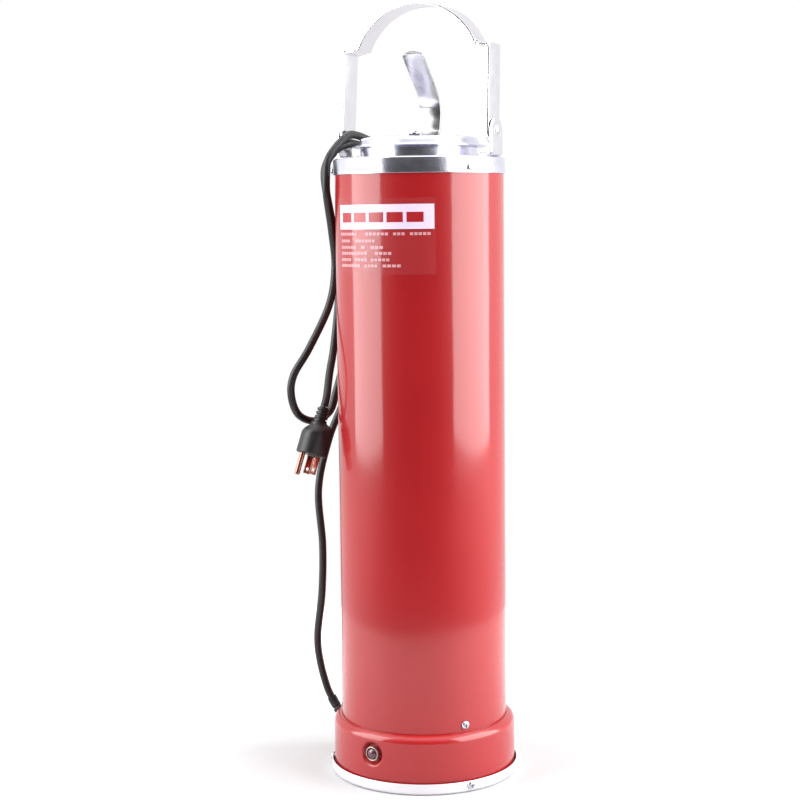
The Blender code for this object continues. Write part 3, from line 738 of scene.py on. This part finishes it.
def bevelled_box(name, size, centre, bevel):
    bm = bmesh.new()
    bmesh.ops.create_cube(bm, size=1.0)
    bmesh.ops.scale(bm, vec=Vector(size), verts=bm.verts)
    bmesh.ops.translate(bm, vec=Vector(centre), verts=bm.verts)
    bmesh.ops.bevel(bm, geom=bm.edges[:], offset=bevel, segments=3, affect="EDGES", profile=0.5)
    mesh = bpy.data.meshes.new(name)
    bm.to_mesh(mesh)
    bm.free()
    obj = bpy.data.objects.new(name, mesh)
    SCENE.collection.objects.link(obj)
    return obj


def cut_with(obj, cutters):
    for cutter in cutters:
        mod = obj.modifiers.new("cut", "BOOLEAN")
        mod.object = cutter
        mod.solver = "EXACT"
    evaluated(obj)
    for cutter in cutters:
        bpy.data.objects.remove(cutter, do_unlink=True)
    return obj


def make_pins(place):
    tip = place @ Matrix.Translation((0, 0, RELIEF_LENGTH + GAP + BODY_LENGTH + GAP))
    pins = []
    for word, side in (("left", -0.0064), ("right", 0.0064)):
        blade = bevelled_box(f"blade_{word}", (0.0015, 0.0064, 0.0165), (0, 0, 0.00825), 0.00045)
        eye = lathe("eye", [(0.0, 0.003, 0), (0.0015, 0.003, 0), (0.0015, -0.003, 0),
                            (0.0, -0.003, 0)], 32, closed=False)
        aim(eye, (0, 0, 0.0122), (1, 0, 0))
        cut_with(blade, [eye])
        blade.data.shade_smooth()
        blade.data.set_sharp_from_angle(angle=math.radians(30))
        blade.matrix_world = tip @ Matrix.Translation((side, 0.0034, 0.0))
        pins.append(finish_piece(blade, BRASS, "brass_pin", "canister", f"plug_blade_{word}"))
    pin = lathe("earth_pin", [(0.0, 0.0200, 0), (0.0024, 0.0200, 0.0017), (0.0024, 0.0, 0),
                              (0.0, 0.0, 0)], 36, closed=False)
    pin.matrix_world = tip @ Matrix.Translation((0, -0.0080, 0))
    pins.append(finish_piece(pin, BRASS, "brass_pin", "canister", "plug_ground_pin"))
    return pins


def make_cord_group():
    lead, path = make_lead()
    make_boot(path)
    place = plug_frame()
    parts = [make_plug_relief(place), make_plug_body(place)] + make_pins(place)


# ---------------------------------------------------------------- shells

def make_casing():
    rows = 28
    outer = [(CASING_R, CASING_Z1 - (CASING_Z1 - CASING_Z0) * i / rows, 0.0)
             for i in range(rows + 1)]
    inner = [(CASING_R - SHEET_T, CASING_Z0, 0.0), (CASING_R - SHEET_T, CASING_Z1, 0.0)]
    casing = lathe("casing_skin", outer + inner, 256)
    finish_piece(casing, RED, "red_paint", "canister", "casing")


def dimple(distance):
    """Depth of the pressed lamp seat at a distance from its centre."""
    share = min(1.0, max(0.0, (SEAT_R - distance) / SEAT_SLOPE))
    return SEAT_DEPTH * share * share * (3 - 2 * share)


def make_base_cover():
    """Pressed cover: straight side, rolled shoulder and a round seat pressed in for the lamp."""
    round_r = 0.0072
    edge = CASING_R + 0.0004
    heights = sorted({COVER_Z0 + 0.0005} | {LAMP_Z + 0.0006 * i for i in range(-21, 21)
                     if COVER_Z0 + 0.0006 < LAMP_Z + 0.0006 * i < COVER_TOP - round_r})
    side = [(COVER_R - 0.0005, COVER_Z0), (COVER_R - 0.00015, COVER_Z0 + 0.00015)]
    side += [(COVER_R, z) for z in heights]
    for i in range(13):
        a = math.radians(90.0 * i / 12)
        side.append((COVER_R - round_r + round_r * math.cos(a),
                     COVER_TOP - round_r + round_r * math.sin(a)))
    pressed = len(side)
    side += [(edge + 0.0004, COVER_TOP - 0.00015), (edge, COVER_TOP - 0.0007),
             (edge, COVER_TOP - 0.0016)]
    side += [(COVER_R - round_r, COVER_TOP - 0.0018), (COVER_R - 0.0028, COVER_TOP - round_r),
             (COVER_R - 0.0062, COVER_TOP - 0.0105), (COVER_R - 0.0062, COVER_Z0 + 0.004),
             (COVER_R - 0.0010, COVER_Z0)]
    near = [LAMP_AZ + 0.4 * i for i in range(-24, 25)]
    far = [LAMP_AZ + 9.6 + (360.0 - 19.2) * i / 160 for i in range(1, 160)]
    verts = []
    for azimuth in near + far:
        out = radial(azimuth)
        turn = math.radians((azimuth - LAMP_AZ + 180.0) % 360.0 - 180.0)
        for k, (r, z) in enumerate(side):
            if k < pressed:
                r -= dimple(math.hypot(turn * COVER_R, z - LAMP_Z))
            verts.append(out * r + Vector((0, 0, z)))
    count = len(side)
    turns = len(near) + len(far)
    faces = [[i * count + k, i * count + (k + 1) % count,
              (i + 1) % turns * count + (k + 1) % count, (i + 1) % turns * count + k]
             for i in range(turns) for k in range(count)]
    cover = mesh_object("base_cover_skin", verts, faces, 50.0)
    finish_piece(cover, RED, "red_paint", "canister", "base_cover", "lamp_recess")


def make_pan():
    floor = 0.0010
    corners = [(0.0, 0.0, 0), (PAN_R - 0.030, 0.0, 0), (PAN_R, 0.0, 0.0030), (PAN_R, PAN_H, 0.0004),
               (PAN_R - floor, PAN_H, 0.0004), (PAN_R - floor, floor, 0.0020), (0.0, floor, 0)]
    pan = lathe("bottom_pan_skin", corners, 224, closed=False)
    finish_piece(pan, PAN, "pan_aluminium", "canister", "bottom_pan")


def make_top_ring():
    hole = TUBE_R + GAP
    corners = [(hole, RING_TOP, 0.0003), (RING_R - 0.006, RING_TOP, 0), (RING_R, RING_TOP, 0.0016),
               (RING_R, RING_Z0 + 0.0060, 0), (RING_R, RING_Z0, 0.0003),
               (RING_R - SHEET_T, RING_Z0, 0.0003), (RING_R - SHEET_T, RING_TOP - SHEET_T, 0.0008),
               (hole, RING_TOP - SHEET_T, 0.0003)]
    ring = lathe("top_ring_skin", corners, 256)
    finish_piece(ring, SPUN, "spun_aluminium", "canister", "top_ring")


def make_tube():
    inner = TUBE_R - 0.0012
    corners = [(TUBE_R, NECK_TOP, 0.0005), (TUBE_R, NECK_TOP - 0.02, 0), (TUBE_R, TUBE_Z0, 0.0002),
               (inner, TUBE_Z0, 0.0002), (inner, NECK_TOP - 0.02, 0), (inner, NECK_TOP, 0.0005)]
    tube = lathe("rod_tube", corners, 192)
    finish_piece(tube, SPUN, "inner_steel", "canister", "inner_tube")


# ---------------------------------------------------------------- lid

def make_lid_cover():
    t = LID_SHEET_T
    dome = 0.0536
    brim = BRIM_Z + t
    corners = [(0.0, LID_TOP, 0), (0.0400, LID_TOP - 0.0002, 0.002),
               (0.0424, LID_TOP - 0.0009, 0.002),
               (dome - 0.0020, LID_TOP - 0.0010, 0.0044), (dome + 0.0006, brim, 0.0028),
               (LID_R - 0.0012, brim + 0.0002, 0), (LID_R, brim - 0.0002, 0.0005),
               (LID_R, BRIM_Z, 0.0004), (dome - t, BRIM_Z, 0.0018),
               (dome - 0.0024 - t, LID_TOP - 0.0010 - t, 0.0034), (0.0, LID_TOP - t, 0)]
    lid = lathe("lid_skin", corners, 224, closed=False)
    finish_piece(lid, SPUN, "spun_aluminium", "lid", "lid_cover")


def make_lid_cup():
    wall = TUBE_R - 0.0022
    inner = wall - 0.0010
    corners = [(0.0, CUP_Z0, 0), (wall, CUP_Z0, 0.0016), (wall, CUP_Z1 - 0.0010, 0.0006),
               (0.0520, CUP_Z1 - 0.0010, 0.0003), (0.0520, CUP_Z1, 0.0003), (inner, CUP_Z1, 0.0006),
               (inner, CUP_Z0 + 0.0010, 0.0010), (0.0, CUP_Z0 + 0.0010, 0)]
    cup = lathe("lid_cup_skin", corners, 160, closed=False)
    finish_piece(cup, SPUN, "spun_aluminium", "lid", "lid_cup")


def make_strap():
    """Strip foot on the lid, a riser at the back and a forward-curling grip."""
    z0 = LID_TOP + GAP + STRAP_T / 2.0
    bend = smooth_path([(0, 0.0150, z0), (0, 0.0185, z0 + 0.0004), (0, 0.0216, z0 + 0.0020),
                        (0, 0.0237, z0 + 0.0052), (0, 0.0250, z0 + 0.0120), (0, 0.0262, 0.5930),
                        (0, 0.0250, 0.6010), (0, 0.0215, 0.6085), (0, 0.0150, 0.6165),
                        (0, 0.0070, 0.6245), (0, -0.0010, 0.6325), (0, -0.0085, 0.6400),
                        (0, -0.0135, 0.6452)], 0.0012)
    line = [(0, -0.0200, z0), (0, 0.0, z0)] + bend
    strap = strip("lid_strap", line, (-1, 0, 0), 0.0200, STRAP_T, 0.0030, 0.0050)
    finish_piece(strap, STRAP_STRIP, "strip_aluminium", "lid", "lid_handle")


# ---------------------------------------------------------------- bail

def bail_line():
    """Mid-line of the strip in the XZ plane, from the left leg to the right."""
    arch_r = 0.0625
    centre_z = BAIL_TOP - arch_r
    mid = arch_r - STRIP_T / 2.0
    lean = 0.0025
    foot = PIVOT_Z - STRIP_W / 2.0
    legs = []
    for side in (-1, 1):
        top_x = side * 0.0694 + lean
        leg = [(side * LEG_X, foot), (side * LEG_X, PIVOT_Z)]
        leg += [(top_x, 0.6440), (top_x - side * 0.0011, 0.6468), (top_x - side * 0.0040, 0.6484)]
        leg += [(side * 0.0602 + lean * 1.1, 0.6494), (side * 0.0584 + lean * 1.2, 0.6516)]
        legs.append(leg)
    arch = [(0.0030 + mid * math.cos(math.radians(157 - 134 * i / 40)),
             centre_z + mid * math.sin(math.radians(157 - 134 * i / 40))) for i in range(41)]
    return [(x, 0.0, z) for x, z in legs[0] + arch + legs[1][::-1]]


def make_bail():
    line = bail_line()
    feet = (line[0], line[-1])
    inside = smooth_path(line[1:-1], 0.0014)
    bail = strip("bail_strip", [feet[0]] + inside + [feet[1]], (0, 1, 0), STRIP_W, STRIP_T,
                 STRIP_W / 2.0, STRIP_W / 2.0)
    finish_piece(bail, BAIL_STRIP, "strip_aluminium", "bail", "bail_handle")


def make_ear(side, word):
    z0 = RING_TOP + GAP + EAR_T / 2.0
    bend = 0.0032
    line = [(0.0600 * side, 0.0, z0), ((EAR_X - bend) * side, 0.0, z0)]
    for i in range(1, 9):
        a = math.radians(90.0 * i / 8)
        line.append((side * (EAR_X - bend + bend * math.sin(a)), 0.0,
                     z0 + bend * (1 - math.cos(a))))
    top = PIVOT_Z - 0.0015 + STRIP_W / 2.0
    line.append((EAR_X * side, 0.0, top - STRIP_W / 2.0))
    line.append((EAR_X * side, 0.0, top))
    ear = strip(f"ear_bracket_{word}", line, (0, side, 0), STRIP_W, EAR_T, 0.0012,
                STRIP_W / 2.0, 0.0004)
    finish_piece(ear, BAIL_STRIP, "strip_aluminium", "canister", f"bail_ear_{word}")
    for i, y in enumerate((-0.0070, 0.0070)):
        head = EAR_T + GAP
        corners = [(0.0, head + 0.0015, 0), (0.0016, head + 0.0013, 0.0012), (0.0029, head, 0.0003),
                   (0.0016, head, 0), (0.0016, 0.0, 0), (0.0, 0.0, 0)]
        rivet = lathe(f"ear_rivet_head_{word}_{i + 1}", corners, 32, closed=False)
        rivet.matrix_world = Matrix.Translation((0.0645 * side, y, RING_TOP + GAP))
        finish_piece(rivet, ZINC, "zinc_fastener", "canister", f"ear_rivet_{word}_{i + 1}")


def make_pivot(side, word):
    leg_in = LEG_X - STRIP_T / 2.0
    ear_out = EAR_X + EAR_T / 2.0
    corners = [(0.0, ear_out + 0.0022, 0), (0.0022, ear_out + 0.0020, 0.0016),
               (0.0041, ear_out + 0.0006, 0.0006), (0.0042, ear_out, 0), (0.0024, ear_out, 0),
               (0.0024, leg_in, 0), (0.0042, leg_in, 0), (0.0040, leg_in - 0.0008, 0.0003),
               (0.0, leg_in - 0.0010, 0)]
    rivet = lathe(f"pivot_pin_{word}", corners, 48, closed=False)
    aim(rivet, (0, 0, PIVOT_Z), (side, 0, 0))
    finish_piece(rivet, ZINC, "zinc_fastener", "canister", f"pivot_rivet_{word}")
    low = LEG_X + STRIP_T / 2.0 + 0.0002
    high = EAR_X - EAR_T / 2.0 - 0.0002
    washer = lathe(f"pivot_spacer_{word}", [(0.0058, high, 0.0001), (0.0058, low, 0.0001),
                                            (0.0028, low, 0), (0.0028, high, 0)], 48)
    aim(washer, (0, 0, PIVOT_Z), (side, 0, 0))
    finish_piece(washer, ZINC, "zinc_fastener", "canister", f"pivot_washer_{word}")


# ---------------------------------------------------------------- fasteners

def cross_cutter(size):
    """Two tapered bars, crossed: the recess of a cross-head screw."""
    faces = [(0, 1, 2, 3), (7, 6, 5, 4), (0, 4, 5, 1), (1, 5, 6, 2), (2, 6, 7, 3), (3, 7, 4, 0)]
    ends = ((0.0030, size * 1.05, size * 0.26), (-0.0006, size * 0.35, size * 0.14))
    bars = []
    for name, turn in (("cross", 0.0), ("cross_two", 90.0)):
        spin = Matrix.Rotation(math.radians(turn), 3, "Z")
        verts = [spin @ Vector((sx * half, sy * wide, z)) for z, half, wide in ends
                 for sx, sy in ((1, 1), (-1, 1), (-1, -1), (1, -1))]
        bars.append(mesh_object(name, verts, faces))
    return bars


def cross_head(name, head_r, head_h, shank_r, reach):
    """A pan-head screw: domed head with a rounded edge, cross recess and a shank."""
    corners = [(0.0, head_h, 0), (head_r * 0.55, head_h * 0.95, head_r * 0.8),
               (head_r * 0.95, head_h * 0.55, head_r * 0.3), (head_r, 0.0004, 0.0002),
               (shank_r, 0.0003, 0.0), (shank_r, -reach, 0.0004), (0.0, -reach, 0)]
    screw = lathe(name, corners, 40, closed=False)
    cut_with(screw, cross_cutter(head_r * 0.62))
    screw.data.shade_smooth()
    screw.data.set_sharp_from_angle(angle=math.radians(34))
    return screw


def make_screws():
    rows = (("rim_screw", RIM_SCREW_AZ, RING_R, 0.5434, 0.0034, 0.0050),
            ("casing_screw", BASE_SCREW_AZ, CASING_R, 0.0574, 0.0038, 0.0060),
            ("pan_screw", BASE_SCREW_AZ, PAN_R, 0.0064, 0.0038, 0.0070))
    for kind, azimuths, radius, z, head_r, reach in rows:
        for i, azimuth in enumerate(azimuths):
            screw = cross_head(f"{kind}_head_{i + 1}", head_r, 0.0022, 0.0019, reach)
            out = radial(azimuth)
            spin = Matrix.Rotation(math.radians(23.0 + 37.0 * i + radius * 900.0), 4, "Z")
            aim(screw, out * radius + Vector((0, 0, z)), out)
            screw.matrix_world = screw.matrix_world @ spin
            finish_piece(screw, ZINC, "zinc_fastener", "canister", f"{kind}_{i + 1}")


def make_lid_screw():
    top = LID_TOP + GAP + STRAP_T
    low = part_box("lid_screw")[0].z
    screw = cross_head("lid_bolt", 0.0046, 0.0028, 0.0022, top - low)
    screw.matrix_world = Matrix.Translation((0, SCREW_Y, top)) @ Matrix.Rotation(0.5, 4, "Z")
    finish_piece(screw, ZINC, "zinc_fastener", "lid", "lid_screw")
    nut_low, nut_high = (corner.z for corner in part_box("lid_nut"))
    nut = lathe("lid_hex_nut", [(0.0048, nut_high, 0.0003), (0.0048, nut_low, 0.0003),
                                (0.0025, nut_low, 0.0), (0.0025, nut_high, 0.0)], 6)
    nut.matrix_world = Matrix.Translation((0, SCREW_Y, 0))
    nut.data.shade_flat()
    finish_piece(nut, ZINC, "zinc_fastener", "lid", "lid_nut")


# ---------------------------------------------------------------- lamp and label

def make_lamp():
    out = radial(LAMP_AZ)
    wall = out * COVER_R + Vector((0, 0, LAMP_Z))
    bezel = lathe("lamp_ring", [(0.0065, 0.0002, 0.0007), (0.0065, -0.0060, 0),
                                (0.0052, -0.0060, 0), (0.0052, 0.0002, 0.0006)], 64)
    aim(bezel, wall, out)
    finish_piece(bezel, NICKEL, "nickel_bezel", "canister", "lamp_bezel")
    lens = lathe("lamp_dome", [(0.0, 0.0018, 0), (0.0022, 0.0015, 0.003),
                               (0.0040, 0.0004, 0.003), (0.0050, -0.0012, 0.001),
                               (0.0050, -0.0050, 0), (0.0, -0.0050, 0)], 56, closed=False)
    aim(lens, wall, out)
    finish_piece(lens, LENS_RED, "lamp_lens", "canister", "lamp_lens")


def patch(name, azimuths, heights, low, high, steps, rim):
    """A thin curved sheet on the drum between two radii, with a slightly rounded border."""
    a0, a1 = azimuths
    z0, z1 = heights
    across = [a0 + (a1 - a0) * i / steps for i in range(steps + 1)]
    verts = []
    for r, inset in ((low, 0.0), (high, rim)):
        turn = math.degrees(inset / CASING_R)
        for z in (z0 + inset, z1 - inset):
            for azimuth in across:
                clipped = min(max(azimuth, a0 + turn), a1 - turn)
                verts.append(radial(clipped) * r + Vector((0, 0, z)))
    n = steps + 1
    faces = []
    for i in range(steps):
        faces.append((i, i + 1, n + i + 1, n + i))
        faces.append((2 * n + i, 3 * n + i, 3 * n + i + 1, 2 * n + i + 1))
        faces.append((i, 2 * n + i, 2 * n + i + 1, i + 1))
        faces.append((n + i, n + i + 1, 3 * n + i + 1, 3 * n + i))
    for i in (0, steps):
        faces.append((i, n + i, 3 * n + i, 2 * n + i))
    return mesh_object(name, verts, faces, 40.0)


def block_row(name, words, heights, low, high):
    """Plain little blocks round the drum: stand-ins for a printed row, without letters."""
    verts, faces = [], []
    for start, end in words:
        count = max(1, round((end - start) / 3.0))
        step = (end - start) / count
        for k in range(count):
            base = len(verts)
            sides = (start + step * k, start + step * (k + 1) - 0.7)
            verts += [radial(azimuth) * r + Vector((0, 0, z))
                      for r in (low, high) for z in heights for azimuth in sides]
            faces += [[base + corner for corner in face] for face in (
                (0, 1, 3, 2), (4, 6, 7, 5), (0, 4, 5, 1), (2, 3, 7, 6), (0, 2, 6, 4), (1, 5, 7, 3))]
    return mesh_object(name, verts, faces, 40.0)


def make_label():
    low, high = CASING_R + 0.00008, CASING_R + 0.00030
    film = patch("label_sheet", LABEL_AZ, (LABEL_Z0, LABEL_Z1), low, high, 96, 0.0001)
    finish_piece(film, FILM, "label_film", "canister", "rating_label")
    top = CASING_R + 0.00042
    panel = patch("label_panel", (-41.2, 34.6), (0.4916, 0.5127), high + 0.00004, top, 96, 0.00005)
    finish_piece(panel, PRINT, "label_film", "canister")
    rows = ((0.4876, ((-40.5, -20.3), (-13.1, 4.8), (7.6, 15.9), (18.7, 32.8))),
            (0.4817, ((-39.0, -27.5), (-22.2, -4.9))),
            (0.4762, ((-39.0, -21.3), (-17.0, -13.1), (-8.9, 1.1))),
            (0.4711, ((-39.0, -11.4), (-5.7, 6.9))),
            (0.4656, ((-39.0, -26.4), (-23.2, -11.4), (-8.9, 5.5))),
            (0.4605, ((-39.0, -17.5), (-13.9, -3.4), (0.0, 13.2))))
    for i, (z, words) in enumerate(rows):
        row = block_row(f"label_row_{i + 1}", words, (z - 0.0012, z + 0.0012), high + 0.00004, top)
        finish_piece(row, PRINT_ROWS, "label_film", "canister")
    for i in range(5):
        start = -37.0 + 13.4 * i
        block = patch(f"label_block_{i + 1}", (start, start + 11.0), (0.4975, 0.5060),
                      top + 0.00004, top + 0.00012, 16, 0.00002)
        finish_piece(block, PRINT_RED, "label_film", "canister")


# ---------------------------------------------------------------- carried-over nodes

CARRIED = {
    "rod_rest": STEEL, "bulkhead": STEEL, "insulation_sleeve": WOOL, "insulation_floor": WOOL,
    "lid_insulation": WOOL, "heater_band_lower": MICA, "heater_band_upper": MICA,
    "thermostat": BAKELITE, "terminal_block": PORCELAIN, "lamp_body": BAKELITE,
    "heater_lead": SLEEVE, "lamp_lead": SLEEVE, "mains_core": SLEEVE,
}


def dress_carried():
    for node, mat in CARRIED.items():
        data = frame["nodes"][node].data
        data.materials.clear()
        data.materials.append(mat)


# ---------------------------------------------------------------- floor, light, world

def area_light(name, azimuth, size, power):
    """A soft box that leans its face at the drum; the camera does not see it."""
    data = bpy.data.lights.new(name, "AREA")
    data.shape = "RECTANGLE"
    data.size, data.size_y = size
    data.energy = power
    lamp = bpy.data.objects.new(name, data)
    SCENE.collection.objects.link(lamp)
    place = radial(azimuth) * LIGHT_DISTANCE + Vector((0, 0, LIGHT_Z))
    lamp.location = place
    lamp.rotation_mode = "QUATERNION"
    lamp.rotation_quaternion = (place - Vector((0, 0, LIGHT_TARGET_Z))).to_track_quat("Z", "Y")
    lamp.visible_camera = False


def make_studio():
    bm = bmesh.new()
    bmesh.ops.create_circle(bm, cap_ends=True, segments=96, radius=FLOOR_R)
    mesh = bpy.data.meshes.new("floor")
    bm.to_mesh(mesh)
    bm.free()
    floor = bpy.data.objects.new("floor", mesh)
    SCENE.collection.objects.link(floor)
    look = Look("floor_card", Roughness=0.75)
    # Painted shade: the floor colour is darker near the drum, 0.47 grey inside 0.14 m rising to
    # 0.66 beyond 0.42 m, a painted shade pool round the base.
    far = look.spread(look.vector("LENGTH", look.place), 0.14, 0.42)
    grain = look.spread(look.noise(6.0, 3.0), 0.3, 0.7, -0.03, 0.03)
    look.set("Base Color", look.mix(look.maths("ADD", far, grain), (0.47, 0.47, 0.475),
                                    (0.66, 0.66, 0.66)))
    look.bump(look.noise(500.0, 2.0), 0.00003, 1.0)
    floor.data.materials.append(look.mat)
    area_light("left_box", -52.0, (1.26, 1.80), 42.0)
    area_light("right_box", 99.0, (1.69, 1.80), 64.0)


def make_world():
    """Pale behind, bright overhead, and dim in front, where a studio is dark."""
    world = bpy.data.worlds.new("studio")
    SCENE.world = world
    world.use_nodes = True
    nodes, links = world.node_tree.nodes, world.node_tree.links
    back = nodes["Background"]
    place = nodes.new("ShaderNodeTexCoord")

    def ramp(direction, *numbers):
        facing = nodes.new("ShaderNodeVectorMath")
        facing.operation = "DOT_PRODUCT"
        facing.inputs[1].default_value = direction
        links.new(place.outputs["Generated"], facing.inputs[0])
        made = nodes.new("ShaderNodeMapRange")
        for socket, number in zip(made.inputs[1:5], numbers):
            socket.default_value = number
        links.new(facing.outputs["Value"], made.inputs[0])
        return made.outputs[0]

    level = nodes.new("ShaderNodeMath")
    level.operation = "ADD"
    links.new(ramp(radial(CAMERA_AZ), -0.35, 0.45, BACK_LEVEL, FRONT_LEVEL), level.inputs[0])
    links.new(ramp(Vector((0, 0, 1)), 0.62, 0.82, 0.0, OVERHEAD_LEVEL), level.inputs[1])
    seen = nodes.new("ShaderNodeLightPath")
    mix = nodes.new("ShaderNodeMix")
    mix.inputs[3].default_value = 1.0
    links.new(seen.outputs["Is Camera Ray"], mix.inputs[0])
    links.new(level.outputs[0], mix.inputs[2])
    links.new(mix.outputs[0], back.inputs["Strength"])
    back.inputs["Color"].default_value = (1.0, 1.0, 1.0, 1.0)


make_camera()
make_cord_group()
make_casing()
make_base_cover()
make_pan()
make_top_ring()
make_tube()
make_lid_cover()
make_lid_cup()
make_strap()
make_bail()
for side_sign, side_word in ((-1, "left"), (1, "right")):
    make_ear(side_sign, side_word)
    make_pivot(side_sign, side_word)
make_screws()
make_lid_screw()
make_lamp()
make_label()
dress_carried()
make_studio()
make_world()
SCENE.view_settings.view_transform = "Standard"
